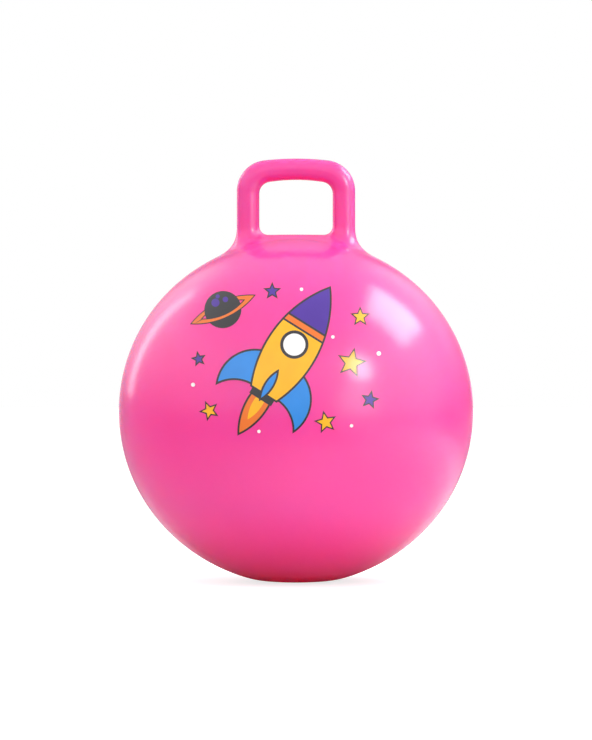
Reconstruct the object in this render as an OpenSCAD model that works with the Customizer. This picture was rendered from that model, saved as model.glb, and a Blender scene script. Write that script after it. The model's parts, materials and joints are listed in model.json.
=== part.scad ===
// Hopper ball: an inflated ball to sit and bounce on, with a moulded hand loop on its
// crown, a valve with a pull-out plug at the back and a printed picture on the front.
// Lengths are in millimetres and +Z is up. The origin is the middle of the small flat
// patch that rests on the floor. The picture faces -Y, and the hand loop stands in the
// XZ plane.

/* [Ball] */
// Diameter of the inflated ball at its widest
ball_d = 450; // [400:1:520]
// Thickness of the ball's skin
ball_wall = 0.9; // [0.6:0.1:2]

/* [Hand loop] */
// Width of the loop over both legs
loop_w = 150.4; // [135:0.2:180]
// Thickness of the round grip and legs
grip_d = 28.4; // [24:0.2:32]
// Height of the gap for the hands, at its middle
gap_h = 68.4; // [55:0.2:90]
// Height of the gap's floor above the ball's crown
saddle_rise = 5.2; // [3:0.1:8]
// Radius of the grip's slight upward bow
bow_r = 300; // [200:10:600]
// Bend radius of the top corners, at the middle of the tube
top_bend_r = 25.5; // [18:0.5:28]
// Radius of the gap's two bottom corners
gap_corner_r = 11; // [6:0.5:16]
// Thickness of the loop's wall
loop_wall = 2; // [1.2:0.1:4]
// Fillet radius between a leg and the ball, on the outer side
foot_outer_r = 37; // [28:0.5:44]
// Fillet radius between a leg and the ball, on the gap's side
foot_inner_r = 8; // [5:0.5:12]
// Step at the fillet's thin edge, where it runs out on the ball
foot_lip = 0.5; // [0.3:0.1:1]

/* [Valve] */
// Height of the valve on the back, as an angle above the ball's middle
valve_angle = 18; // [5:1:35]
// Diameter of the valve's outer lip
lip_d = 30; // [26:0.5:40]
// Height of the lip's face above the skin
lip_t = 2.2; // [1.8:0.1:3.5]
// Diameter of the neck that passes through the skin
neck_d = 17; // [14:0.5:20]
// Length of the neck inside the ball
neck_len = 15; // [10:0.5:22]
// Diameter of the flange inside the ball
flange_d = 34; // [28:0.5:42]
// Thickness of the flange inside the ball
flange_t = 1.6; // [1:0.1:2.5]
// Diameter of the air bore that the plug closes
bore_d = 7.6; // [6:0.1:9]
// Diameter of the plug's head
head_d = 16; // [12:0.5:20]
// Thickness of the plug's head
head_t = 2; // [1.5:0.1:3]
// Depth that the head sinks into the lip
head_sink = 1.2; // [0.6:0.1:1.5]
// Length of the plug's stem
stem_len = 14; // [8:0.5:20]
// Diameter of the stem between its ribs
stem_d = 6.2; // [5:0.1:7]
// Number of sealing ribs on the stem
rib_count = 3; // [2:1:4]
// Length of one sealing rib
rib_len = 2; // [1:0.1:2.6]

/* [Print] */
// Thickness of an ink film
ink_t = 0.15; // [0.1:0.01:0.3]
// Width of the dark outlines
line_w = 2.4; // [1.5:0.1:4]
// Bare line left between two inks
ink_gap = 0.3; // [0.1:0.05:0.6]
// Length of the rocket from nose to tail, without its flame
rocket_len = 150; // [120:1:170]
// Width of the rocket's body
rocket_w = 60; // [48:1:70]
// Lean of the rocket to the right of upright
rocket_tilt = 32; // [0:1:60]
// Diameter of the rocket's window
window_d = 27; // [20:1:32]
// Length of the flame
flame_len = 50; // [30:1:60]
// Diameter of the ringed planet
planet_d = 46; // [36:1:54]
// Length of the planet's ring, tip to tip
ring_len = 84; // [72:1:96]
// Tip to tip size of the largest star
star_d = 30; // [20:1:36]

/* [Hidden] */
$fn = 144;

// Clearances and overruns
seat_clear = 0.1;   // between the skin and the valve seat that is bonded into it
plug_clear = 0.05;  // radial, between a sealing rib and the bore
head_clear = 0.4;   // radial, between the plug's head and its recess
head_rest = 0.1;    // between the head's underside and the floor of its recess
ink_clear = 0.02;   // between the skin and an ink film
cut_over = 2;       // how far a cutting shape runs past what it cuts

// The ball is a solid of revolution. Its half outline is a belly arc and two flatter
// arcs at the crown and the base, each tangent to the belly arc.
ball_r = ball_d / 2;
belly_arc_share = 0.9575;   // the belly arc's radius, of the ball's radius
belly_height_share = 0.4813; // the height of the widest place, of the diameter
crown_height_share = 0.9678; // the height of the crown, of the diameter
sag_share = 0.0073;         // how much the floor flattens the base, of the diameter
belly_r = belly_arc_share * ball_r;
belly_x = ball_r - belly_r;
belly_z = belly_height_share * ball_d;
crown_z = crown_height_share * ball_d;
base_z = -sag_share * ball_d;

// Height of the centre of an arc that starts on the axis at height tip and runs
// tangent into the belly arc; side is 1 for the crown and -1 for the base.
function cap_z(tip, side) =
    let(level = tip - side * belly_r)
    (level * level - belly_x * belly_x - belly_z * belly_z) / (2 * (level - belly_z));
crown_cz = cap_z(crown_z, 1);
crown_r = crown_z - crown_cz;
base_cz = cap_z(base_z, -1);
base_r = base_cz - base_z;

// Hand loop. The legs stand beside the gap, and the ring closes below it.
leg_x = (loop_w - grip_d) / 2;
tube_r = grip_d / 2;
bore_r = tube_r - loop_wall;
gap_floor_z = crown_z + saddle_rise;
low_bend_r = gap_corner_r + tube_r;
low_bar_z = gap_floor_z - tube_r;
grip_z = gap_floor_z + gap_h + tube_r;
bow_cz = grip_z - bow_r;
top_bend_x = leg_x - top_bend_r;
top_bend_z = bow_cz + sqrt((bow_r - top_bend_r) ^ 2 - top_bend_x ^ 2);
bow_half_angle = asin(top_bend_x / (bow_r - top_bend_r));
bend_step = 0.1;     // the corners are this much thicker all round than what they join
bend_over = 1.5;     // and the grip, the legs and the low bar run this far into them
low_bend_x = leg_x - low_bend_r;
low_bend_z = low_bar_z + low_bend_r;
leg_root = grip_d;   // how far a leg's bore reaches below the crown
foot_mid_r = (foot_outer_r + foot_inner_r) / 2;
foot_swing_r = (foot_outer_r - foot_inner_r) / 2;
foot_step = 0.25;    // how far a foot stands proud of its leg
foot_root = 5;       // how deep a foot's skirt goes under the skin before it is cut
foot_sides = 36;
foot_rings = 8;

// Valve frame: its origin is on the skin, and its +Z points straight out of the ball.
valve_y = belly_x + belly_r * cos(valve_angle);
valve_z = belly_z + belly_r * sin(valve_angle);
lip_edge = 0.8;      // chamfer round the lip's face
head_edge = 0.5;     // chamfer round the plug's head
dimple_depth = 0.5;  // hollow in the middle of the head
dimple_d = head_d / 2;
recess_z = lip_t - head_sink;
stem_tip = stem_len / 5;
rib_pitch = (stem_len - stem_tip) / (rib_count + 1);

// Print. Places on the ball are shares of its radius, right of and above its middle. The
// third number of a star's or a dot's place is its size, of the largest star or of dot_share.
rocket_place_shares = [-0.03, 0.345];
planet_place_shares = [-0.4, 0.57];
star_place_shares = [[0.3, 0.28, 1], [0.35, 0.53, 0.6], [0.16, -0.04, 0.7], [-0.47, 0.02, 0.6]];
small_star_place_shares = [[0.4, 0.08, 0.55], [-0.13, 0.67, 0.5], [-0.53, 0.3, 0.4]];
dot_place_shares = [[0.2, 0.42, 1], [0.3, -0.06, 1], [0.45, 0.33, 1.3], [-0.56, 0.16, 1.2],
                    [0.03, 0.68, 1], [-0.2, -0.09, 1]];
dot_share = 0.14;       // a white dot's diameter, of the largest star

// The rocket's own frame has its middle at the origin and its nose up.
tail_share = 0.4;       // the tail below the middle, of the rocket's length
nose_share = 0.26;      // the nose's lower edge above the middle, of its length
band_share = 0.06;      // width of the band below the nose, of its length
rim_share = 0.14;       // width of the window's rim, of the window's diameter
fin_shares = [0.2, 0.03, 0.77];     // a fin's disc: out, below the tail, radius, of the width
notch_shares = [0.27, 0.73, 0.77];  // the disc that hollows a fin, in the same terms
keel_shares = [0.48, 0.3, 0.065];   // middle fin: top above the tail, half length, half width
nozzle_shares = [0.22, 0.12];       // nozzle: half width and height, of the width
flame_shares = [0.2, 0.16];         // flame: half width of the width, its widest place
core_shares = [0.5, 0.55];          // bright core of the flame: of its width and length
tail_y = -tail_share * rocket_len;
tip_y = rocket_len + tail_y;
nose_y = nose_share * rocket_len;
band_y = nose_y - band_share * rocket_len;
window_rim = rim_share * window_d;
window_gap = 1.4;       // bare body between the window's rim and the band's outline
window_y = band_y - line_w - window_gap - window_rim - window_d / 2;
nozzle_y = tail_y - nozzle_shares[1] * rocket_w;
flame_y = nozzle_y - flame_shares[1] * flame_len;
flame_w = flame_shares[0] * rocket_w;
flame_a = flame_len * (1 - flame_shares[1]);

// The planet's own frame has its middle at the origin and its ring lengthwise along X.
planet_tilt = 24;
ring_fat_share = 0.24;  // half width of the ring's outline, of its half length
ring_hole_share = 0.72; // size of the ring's inner outline, of its outer one
crater_shares = [[-0.22, 0.5, 0.22], [0.34, 0.44, 0.15], [0.02, 0.76, 0.11]];
star_tips = 5;
star_waist_share = 0.45; // radius of a star's inner corners, of its tips
star_lean = 12;          // turn of each star from the one before it
star_line_share = 0.65;  // width of a star's outline, of the rocket's
star_line = star_line_share * line_w;
// Distance of a star's edges from its middle, of its tips' radius
star_edge_share = star_waist_share * sin(180 / star_tips)
    / sqrt(1 + star_waist_share ^ 2 - 2 * star_waist_share * cos(180 / star_tips));

skin = "hotpink";
cream = "ivory";

// Half outline of the ball, grown outwards by g.
module ball_outline(g = 0) {
    crown_dir = atan2(belly_z - crown_cz, belly_x);
    base_dir = atan2(belly_z - base_cz, belly_x);
    intersection() {
        union() {
            translate([belly_x, belly_z]) circle(r = belly_r + g);
            intersection() {
                translate([0, crown_cz]) circle(r = crown_r + g);
                translate([0, crown_cz])
                    polygon([[0, 0], ball_d * [cos(crown_dir), sin(crown_dir)],
                             [ball_d, ball_d], [0, ball_d]]);
            }
            intersection() {
                translate([0, base_cz]) circle(r = base_r + g);
                translate([0, base_cz])
                    polygon([[0, 0], [0, -ball_d], [ball_d, -ball_d],
                             ball_d * [cos(base_dir), sin(base_dir)]]);
            }
        }
        translate([0, -g]) square([ball_d, ball_d]);
    }
}

module ball_solid(g = 0) {
    rotate_extrude() ball_outline(g);
}

// Moves its children to the valve's frame on the back of the ball.
module at_valve() {
    translate([0, valve_y, valve_z]) rotate([valve_angle - 90, 0, 0]) children();
}

// Makes its child twice, on the right leg's side and mirrored on the left leg's side.
module both_sides() {
    children();
    mirror([1, 0, 0]) children();
}

module ball_shell() {
    color(skin) difference() {
        ball_solid();
        ball_solid(-ball_wall);
        // The air of the ball and of the hollow loop is one.
        both_sides() translate([leg_x, 0, crown_z - leg_root]) cylinder(r = bore_r, h = 2 * leg_root);
        at_valve() translate([0, 0, -neck_len])
            cylinder(d = neck_d + 2 * seat_clear, h = neck_len + lip_t);
    }
}

// A bend of round bar in the XZ plane, from one angle through a sweep.
module bend(x, z, bend_r, from, sweep, r) {
    translate([x, 0, z]) rotate([90, 0, 0]) rotate([0, 0, from])
        rotate_extrude(angle = sweep) translate([bend_r, 0]) circle(r = r);
}

// The upper part of the loop, as round bar of radius r whose legs start at height from_z.
module upper_loop(r, from_z) {
    half = bow_half_angle + asin(bend_over / bow_r);
    bend(0, bow_cz, bow_r, 90 - half, 2 * half, r);
    both_sides() {
        bend(top_bend_x, top_bend_z, top_bend_r, 0, 90 - bow_half_angle, r + bend_step);
        translate([leg_x, 0, from_z]) cylinder(r = r, h = top_bend_z + bend_over - from_z);
    }
}

// The low side of the loop, which lies half sunk in the crown.
module lower_loop() {
    bar = 2 * (low_bend_x + bend_over);
    both_sides() bend(low_bend_x, low_bend_z, low_bend_r, -90, 90, tube_r + bend_step);
    translate([-bar / 2, 0, low_bar_z]) rotate([0, 90, 0]) cylinder(r = tube_r, h = bar);
}

// One ring of a foot's outline. Angle a goes round the leg and is 0 on the outer side.
// Step j goes down the fillet, which is tangent to the leg and to the crown's sphere.
function foot_point(a, j) =
    let(f = foot_mid_r + foot_swing_r * cos(a),
        r0 = tube_r + foot_step,
        u = -leg_x * cos(a),
        sphere_r = sqrt((crown_r + foot_lip) ^ 2 - (leg_x * sin(a)) ^ 2),
        run = r0 + f - u,
        rise = sqrt((sphere_r + f) ^ 2 - run ^ 2),
        turn = atan2(rise, run) * j / foot_rings,
        r = j < 0 ? r0 : r0 + f - f * cos(turn),
        z = j < 0 ? low_bend_z + cut_over : crown_cz + rise - f * sin(turn))
    [leg_x + r * cos(a), r * sin(a), z];

function foot_skirt(a) =
    let(p = foot_point(a, foot_rings), c = [0, 0, crown_cz], d = p - c)
    c + d * (1 - foot_root / norm(d));

// The flared foot of the right leg: a closed solid that reaches under the skin.
module foot() {
    n = foot_sides;
    last = foot_rings + 2;
    step = 360 / n;
    rings = [for (j = [-1:foot_rings]) for (i = [0:n - 1]) foot_point(i * step, j)];
    skirt = [for (i = [0:n - 1]) foot_skirt(i * step)];
    top = [leg_x, 0, low_bend_z + cut_over];
    root = [leg_x, 0, crown_z - leg_root];
    sides = [for (j = [0:last - 1]) for (i = [0:n - 1])
        [j * n + i, j * n + (i + 1) % n, (j + 1) * n + (i + 1) % n, (j + 1) * n + i]];
    tops = [for (i = [0:n - 1]) [(last + 1) * n, (i + 1) % n, i]];
    roots = [for (i = [0:n - 1]) [(last + 1) * n + 1, last * n + i, last * n + (i + 1) % n]];
    polyhedron(points = concat(rings, skirt, [top, root]), faces = concat(sides, tops, roots));
}

module hand_loop() {
    color(skin) difference() {
        union() {
            upper_loop(tube_r, low_bend_z - bend_over);
            lower_loop();
            both_sides() foot();
        }
        upper_loop(bore_r, crown_z - leg_root - cut_over);
        ball_solid();
    }
}

module valve_seat() {
    flange_drop = flange_d ^ 2 / 4 / ball_d;
    flange_depth = ball_wall + seat_clear + flange_t + flange_drop;
    color(cream) difference() {
        union() {
            difference() {
                union() {
                    at_valve() translate([0, 0, -lip_t])
                        cylinder(d = lip_d, h = 2 * lip_t - lip_edge);
                    at_valve() translate([0, 0, lip_t - lip_edge])
                        cylinder(d1 = lip_d, d2 = lip_d - 2 * lip_edge, h = lip_edge);
                }
                ball_solid(seat_clear);
            }
            at_valve() translate([0, 0, -neck_len]) cylinder(d = neck_d, h = neck_len + recess_z);
            intersection() {
                at_valve() translate([0, 0, -flange_depth]) cylinder(d = flange_d, h = flange_depth);
                ball_solid(-ball_wall - seat_clear);
            }
        }
        at_valve() translate([0, 0, -neck_len - cut_over])
            cylinder(d = bore_d, h = neck_len + lip_t + 2 * cut_over);
        at_valve() translate([0, 0, recess_z])
            cylinder(d = head_d + 2 * head_clear, h = head_sink + cut_over);
    }
}

module valve_plug() {
    head_z = recess_z + head_rest;
    dimple_r = (dimple_d ^ 2 / 4 + dimple_depth ^ 2) / (2 * dimple_depth);
    color("white") at_valve() difference() {
        union() {
            translate([0, 0, head_z]) cylinder(d = head_d, h = head_t - head_edge);
            translate([0, 0, head_z + head_t - head_edge])
                cylinder(d1 = head_d, d2 = head_d - 2 * head_edge, h = head_edge);
            translate([0, 0, head_z - stem_len + stem_tip]) cylinder(d = stem_d, h = stem_len - stem_tip);
            translate([0, 0, head_z - stem_len]) cylinder(d1 = stem_d / 2, d2 = stem_d, h = stem_tip);
            for (i = [1:rib_count])
                translate([0, 0, head_z - i * rib_pitch - rib_len / 2])
                    cylinder(d = bore_d - 2 * plug_clear, h = rib_len);
        }
        translate([0, 0, head_z + head_t - dimple_depth + dimple_r]) sphere(r = dimple_r);
    }
}

// An ink film: its flat children, drawn in the XZ plane, laid on the front of the ball.
module ink(ink_color) {
    color(ink_color) difference() {
        intersection() {
            ball_solid(ink_clear + ink_t);
            rotate([90, 0, 0]) linear_extrude(height = ball_d) children();
        }
        ball_solid(ink_clear);
    }
}

// Moves flat children to a place on the front of the ball.
module at_place(place_shares) {
    translate([place_shares[0] * ball_r, belly_z + place_shares[1] * ball_r]) children();
}

module at_rocket() {
    at_place(rocket_place_shares) rotate(-rocket_tilt) children();
}

module at_planet() {
    at_place(planet_place_shares) rotate(planet_tilt) children();
}

// A pointed oval of half length a along X and half width b, grown by g.
module lens(a, b, g = 0) {
    r = (a ^ 2 + b ^ 2) / (2 * b);
    intersection() {
        translate([0, r - b]) circle(r = r + g);
        translate([0, b - r]) circle(r = r + g);
    }
}

// A strip across the rocket, from height low to height high, grown by g.
module strip(low, high, g = 0) {
    translate([-rocket_w, low - g]) square([2 * rocket_w, high - low + 2 * g]);
}

module rocket_body(g = 0) {
    intersection() {
        rotate(90) lens(tip_y, rocket_w / 2, g);
        strip(tail_y, tip_y + line_w, g);
    }
}

module rocket_fins(g = 0) {
    both_sides() difference() {
        intersection() {
            translate([fin_shares[0] * rocket_w, tail_y - fin_shares[1] * rocket_w])
                circle(r = fin_shares[2] * rocket_w + g);
            translate([0, tail_y - rocket_w]) square([rocket_w + g, 2 * rocket_w]);
        }
        translate([notch_shares[0] * rocket_w, tail_y - notch_shares[1] * rocket_w])
            circle(r = notch_shares[2] * rocket_w - g);
    }
}

module rocket_keel(g = 0) {
    translate([0, tail_y + keel_shares[0] * rocket_w - keel_shares[1] * rocket_w])
        rotate(90) lens(keel_shares[1] * rocket_w, keel_shares[2] * rocket_w, g);
}

module rocket_nozzle(g = 0) {
    translate([-nozzle_shares[0] * rocket_w - g, nozzle_y - g])
        square([2 * (nozzle_shares[0] * rocket_w + g), tail_y - nozzle_y + 2 * g]);
}

module rocket_flame(g = 0, size = [1, 1]) {
    intersection() {
        translate([0, flame_y]) rotate(90) lens(size[1] * flame_a, size[0] * flame_w, g);
        strip(flame_y - flame_len, nozzle_y - line_w, g);
    }
}

module rocket_outline(g = 0) {
    rocket_body(g);
    rocket_fins(g);
    rocket_nozzle(g);
    rocket_flame(g);
}

module window_disc(g = 0) {
    translate([0, window_y]) circle(d = window_d + 2 * g);
}

// The coloured areas, each grown by g.
module nose_area(g = 0) {
    intersection() {
        rocket_body(g);
        strip(nose_y, tip_y + line_w, g);
    }
}

module band_area(g = 0) {
    intersection() {
        rocket_body(g);
        strip(band_y, nose_y - line_w, g);
    }
}

module trunk_area(g = 0) {
    difference() {
        intersection() {
            rocket_body(g);
            strip(tail_y, band_y - line_w, g);
        }
        window_disc(window_rim - g);
        rocket_keel(line_w - g);
    }
}

module fin_area(g = 0) {
    difference() {
        rocket_fins(g);
        rocket_body(line_w - g);
    }
    rocket_keel(g);
}

module core_area(g = 0) {
    rocket_flame(g, core_shares);
}

module flame_area(g = 0) {
    difference() {
        rocket_flame(g);
        rocket_flame(ink_gap - g, core_shares);
    }
}

module ring_area(g = 0) {
    a = ring_len / 2;
    b = ring_fat_share * a;
    difference() {
        lens(a, b, g);
        lens(ring_hole_share * a, ring_hole_share * b, -g);
        intersection() {
            circle(d = planet_d + 2 * ink_gap - 2 * g);
            translate([-planet_d, 0]) square([2 * planet_d, planet_d]);
        }
    }
}

module craters(g = 0) {
    for (c = crater_shares)
        translate([c[0], c[1]] * planet_d / 2) circle(r = c[2] * planet_d / 2 + g);
}

// A star whose edges are moved outwards by g.
module star(size, turn, g = 0) {
    tip_r = size / 2 + g / star_edge_share;
    points = [for (i = [0:2 * star_tips - 1])
        let(r = tip_r * (i % 2 == 0 ? 1 : star_waist_share), a = 90 + turn + i * 180 / star_tips)
        r * [cos(a), sin(a)]];
    polygon(points);
}

module stars(place_shares, g = 0) {
    for (i = [0:len(place_shares) - 1])
        at_place(place_shares[i]) star(place_shares[i][2] * star_d, (i - 1) * star_lean, g);
}

module print_yellow() {
    ink("gold") {
        at_rocket() {
            trunk_area();
            core_area();
        }
        stars(star_place_shares);
    }
}

module print_orange() {
    ink("darkorange") {
        at_rocket() {
            band_area();
            flame_area();
        }
        at_planet() ring_area();
    }
}

module print_blue() {
    ink("dodgerblue") at_rocket() fin_area();
}

module print_purple() {
    ink("darkslateblue") {
        at_rocket() nose_area();
        at_planet() craters();
        stars(small_star_place_shares);
    }
}

module print_white() {
    ink("white") {
        at_rocket() window_disc();
        for (d = dot_place_shares) at_place(d) circle(d = d[2] * dot_share * star_d);
    }
}

module print_charcoal() {
    ink("dimgray") {
        at_rocket() difference() {
            rocket_outline(line_w);
            trunk_area(ink_gap);
            band_area(ink_gap);
            nose_area(ink_gap);
            fin_area(ink_gap);
            rocket_flame(ink_gap);
            window_disc(ink_gap);
        }
        difference() {
            stars(star_place_shares, star_line);
            stars(star_place_shares, ink_gap);
        }
        difference() {
            stars(small_star_place_shares, star_line);
            stars(small_star_place_shares, ink_gap);
        }
        at_planet() difference() {
            circle(d = planet_d);
            craters(ink_gap);
            difference() {
                lens(ring_len / 2, ring_fat_share * ring_len / 2, ink_gap);
                lens(ring_hole_share * ring_len / 2,
                     ring_hole_share * ring_fat_share * ring_len / 2, -ink_gap);
                translate([-planet_d, 0]) square([2 * planet_d, planet_d]);
            }
        }
    }
}

ball_shell();
hand_loop();
valve_seat();
valve_plug();
print_yellow();
print_orange();
print_blue();
print_purple();
print_white();
print_charcoal();
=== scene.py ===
"""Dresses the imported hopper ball: its soft PVC skin with the moulded hand loop, the valve and
its plug, and the printed picture, on a plain studio stage. Lengths are in metres, +Z is up,
the picture faces -Y, and the origin is the middle of the flat patch on the floor."""

import json
import math

import bmesh
import bpy
import numpy as np
from bpy.props import FloatProperty, FloatVectorProperty, IntProperty, PointerProperty
from mathutils import Matrix, Vector
from mathutils.geometry import delaunay_2d_cdt


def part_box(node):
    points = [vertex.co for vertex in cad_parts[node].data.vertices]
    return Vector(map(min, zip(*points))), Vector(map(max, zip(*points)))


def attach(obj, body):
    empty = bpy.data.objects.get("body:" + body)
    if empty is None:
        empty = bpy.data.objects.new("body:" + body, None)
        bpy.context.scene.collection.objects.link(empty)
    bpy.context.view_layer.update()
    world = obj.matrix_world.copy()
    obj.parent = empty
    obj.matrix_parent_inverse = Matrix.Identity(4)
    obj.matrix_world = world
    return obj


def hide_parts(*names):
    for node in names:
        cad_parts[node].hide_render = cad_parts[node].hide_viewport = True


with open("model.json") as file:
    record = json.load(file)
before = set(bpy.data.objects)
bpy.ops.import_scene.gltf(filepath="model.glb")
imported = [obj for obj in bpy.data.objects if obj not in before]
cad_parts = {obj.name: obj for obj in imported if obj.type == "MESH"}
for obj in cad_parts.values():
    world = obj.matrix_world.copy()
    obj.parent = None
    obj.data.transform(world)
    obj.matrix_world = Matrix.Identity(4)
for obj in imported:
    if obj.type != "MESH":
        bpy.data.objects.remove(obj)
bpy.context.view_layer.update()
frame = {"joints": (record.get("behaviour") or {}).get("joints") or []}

bl_info = {
    "name": "Hopper ball",
    "version": (1, 0, 0),
    "blender": (4, 5, 0),
    "location": "3D View > Sidebar > Hopper Ball",
    "description": "Builds a hopper ball with a hand loop, a plugged valve and a printed picture",
    "category": "Add Mesh",
}

MM = 0.001
SMOOTH = {"interpolation_type": "SMOOTHSTEP"}

BALL_LOW, BALL_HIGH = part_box("ball_shell")
LOOP_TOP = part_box("hand_loop")[1].z
PLUG_JOINT = next(joint for joint in frame["joints"] if joint["name"] == "plug_pull")
BALL_RADIUS = (BALL_HIGH.x - BALL_LOW.x) / 2
BALL_ACROSS = 2 * BALL_RADIUS
CROWN_HEIGHT = BALL_HIGH.z

# Clearances, and the number of sides of a turned piece.
VALVE_HOLE_CLEARANCE = 0.1 * MM
PLUG_CLEARANCE = 0.1 * MM
RIB_CLEARANCE = 0.08 * MM
INK_SINK = 0.04 * MM
TURNED_SIDES = 64

# Each softbox: its name, its power's setting, its direction from the ball, and its distance,
# width and height in metres.
SOFTBOXES = (("window light", "key", (0.70, 0.12, 0.69), 1.69, 0.85, 0.74),
             ("round lamp", "spot", (0.620, -0.662, 0.421), 1.89, 0.48, 0.48),
             ("strip light", "strip", (-0.679, 0.610, 0.36), 1.78, 0.26, 1.25))

# Directions from the ball to the backdrop, to the bright wall round the lamps, to a white card low
# in front on the right, and to the dark corner behind on the right.
BACKDROP = (0, 1, 0)
LAMP_SIDE = (0.919, -0.246, 0.309)
LOW_CARD = (0.641, -0.763, 0.087)
DARK_CORNER = (0.46, 0.888, 0)


def linear(hex_colour):
    """An sRGB hex colour as linear red, green, blue and alpha."""
    parts = [int(hex_colour[i:i + 2], 16) / 255 for i in (1, 3, 5)]
    return [p / 12.92 if p <= 0.04045 else ((p + 0.055) / 1.055) ** 2.4 for p in parts] + [1.0]


def colour_property(name, description, hex_colour):
    return FloatVectorProperty(name=name, description=description, default=linear(hex_colour),
                               subtype="COLOR", size=4, min=0, max=1)


def amount(name, description, default, low, high, **more):
    """A number that a user can change from low to high, as are the three kinds below."""
    return FloatProperty(name=name, description=description, default=default, min=low, max=high, **more)


def millimetres(name, description, default, low, high):
    return amount(name, description, default * MM, low * MM, high * MM, unit="LENGTH")


def degrees(name, description, default, high):
    return amount(name, description, math.radians(default), 0, math.radians(high), subtype="ANGLE")


def fraction(name, description, default, low=0, high=1):
    return amount(name, description, default, low, high, subtype="FACTOR")


class SkinSettings(bpy.types.PropertyGroup):
    """The ball and its hand loop, which are one soft PVC moulding."""

    belly_arc_share: fraction(
        "Belly arc", "Radius of the arc round the widest place, of the ball's radius", 0.9575, 0.9, 0.99)
    belly_height_share: fraction(
        "Belly height", "Height of the widest place, of the ball's diameter", 0.4813, 0.45, 0.5)
    sag_share: fraction(
        "Sag", "How much the floor flattens the base, of the ball's diameter", 0.0073, 0, 0.02)
    patch_edge: millimetres("Patch edge", "Rounding round the flat patch on the floor", 5, 1, 20)
    loop_width: millimetres("Loop width", "Width of the hand loop over both legs", 150.4, 135, 180)
    loop_corner: millimetres("Outer corner", "Radius of the loop's outer top corners", 39, 30, 45)
    gap_width: millimetres("Gap width", "Width of the gap for the hands", 92.9, 80, 110)
    gap_corner: millimetres("Gap's top corner", "Radius of the gap's top corners", 14.8, 8, 25)
    gap_floor_corner: millimetres("Gap's bottom corner", "Radius of the gap's bottom corners", 11, 6, 20)
    saddle_rise: millimetres("Saddle rise", "Height of the gap's floor above the crown", 5.2, 3, 8)
    grip_thickness: millimetres("Grip", "Thickness of the grip at its middle", 27.3, 24, 32)
    outer_bow: millimetres("Top bow", "Radius of the bow along the grip's top", 362, 200, 800)
    inner_bow: millimetres("Underside bow", "Radius of the bow along the grip's underside", 224, 150, 600)
    foot_reach: millimetres(
        "Foot reach", "How far from a leg its flared foot starts to rise off the ball", 28, 15, 40)
    gap_reach: millimetres(
        "Gap side reach", "The same on the side of the gap, where the foot is tight", 9, 5, 15)
    foot_fullness: amount(
        "Foot fullness", "How tightly the foot's hollow curve hugs its corner", 2.7, 2, 4)
    cell: millimetres("Cell", "Size of the skin's mesh faces", 3, 2, 8)
    body: colour_property("PVC", "Colour of the dyed PVC", "#E7419D")
    # Painted shade: this redder colour is mixed in where the skin faces down, and stands for light from
    # inside the ball.
    deep: colour_property(
        "Shaded PVC", "Colour where the skin faces down and is lit from inside", "#FF3C90")
    grain: millimetres("Grain", "Size of the faint ripple that the mould leaves on the skin", 9, 2, 20)


class ValveSettings(bpy.types.PropertyGroup):
    """The valve on the back and its pull-out plug."""

    lip_radius: millimetres("Lip", "Radius of the valve's lip", 15, 12, 20)
    lip_height: millimetres("Lip height", "Height of the lip above the skin", 2.2, 1.5, 3.5)
    neck_radius: millimetres("Neck", "Radius of the neck inside the ball", 8.5, 7, 10)
    neck_length: millimetres("Neck length", "Length of the neck inside the ball", 15, 10, 22)
    bore_radius: millimetres("Bore", "Radius of the air bore", 3.8, 3, 4.5)
    recess_depth: millimetres("Recess", "Depth that the plug's head sinks into the lip", 1.2, 0.6, 1.5)
    head_radius: millimetres("Head", "Radius of the plug's head", 8, 6, 10)
    head_thickness: millimetres("Head thickness", "Thickness of the plug's head", 2, 1.5, 3)
    stem_length: millimetres("Stem", "Length of the plug's stem", 14, 8, 20)
    stem_radius: millimetres("Stem radius", "Radius of the stem between its ribs", 3.1, 2.5, 3.5)
    ribs: IntProperty(
        name="Ribs", description="Number of sealing ribs on the stem", default=3, min=2, max=4)
    seat_colour: colour_property("Valve", "Colour of the valve's soft PVC", "#EAE3D2")
    plug_colour: colour_property("Plug", "Colour of the plug", "#F1EFEA")


class PrintSettings(bpy.types.PropertyGroup):
    """The printed picture: a rocket, a ringed planet and stars, in six inks."""

    film: millimetres("Film", "Height of an ink film above the skin", 0.12, 0.05, 0.3)
    line: millimetres("Outline", "Width of the dark outlines", 2.4, 1.5, 4)
    rocket_length: millimetres("Rocket", "Length of the rocket without its flame", 150, 120, 170)
    rocket_width: millimetres("Rocket width", "Width of the rocket's body", 60, 48, 70)
    rocket_tilt: degrees("Lean", "Lean of the rocket to the right of upright", 32, 60)
    window: millimetres("Window", "Diameter of the rocket's window", 27, 20, 32)
    flame: millimetres("Flame", "Length of the flame", 50, 30, 60)
    planet: millimetres("Planet", "Diameter of the planet", 46, 36, 54)
    ring: millimetres("Ring", "Length of the planet's ring", 84, 72, 96)
    star: millimetres("Star", "Tip to tip size of the largest star", 30, 20, 36)
    cell: millimetres("Cell", "Size of the faces inside an ink film", 5, 2, 8)
    yellow: colour_property("Yellow", "Colour of the yellow ink", "#F3B11C")
    orange: colour_property("Orange", "Colour of the orange ink", "#E5722A")
    blue: colour_property("Blue", "Colour of the blue ink", "#2E86D8")
    purple: colour_property("Purple", "Colour of the purple ink", "#4A2A92")
    white: colour_property("White", "Colour of the white ink", "#F6F1F0")
    charcoal: colour_property("Charcoal", "Colour of the near black ink", "#2C2A2E")


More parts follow.
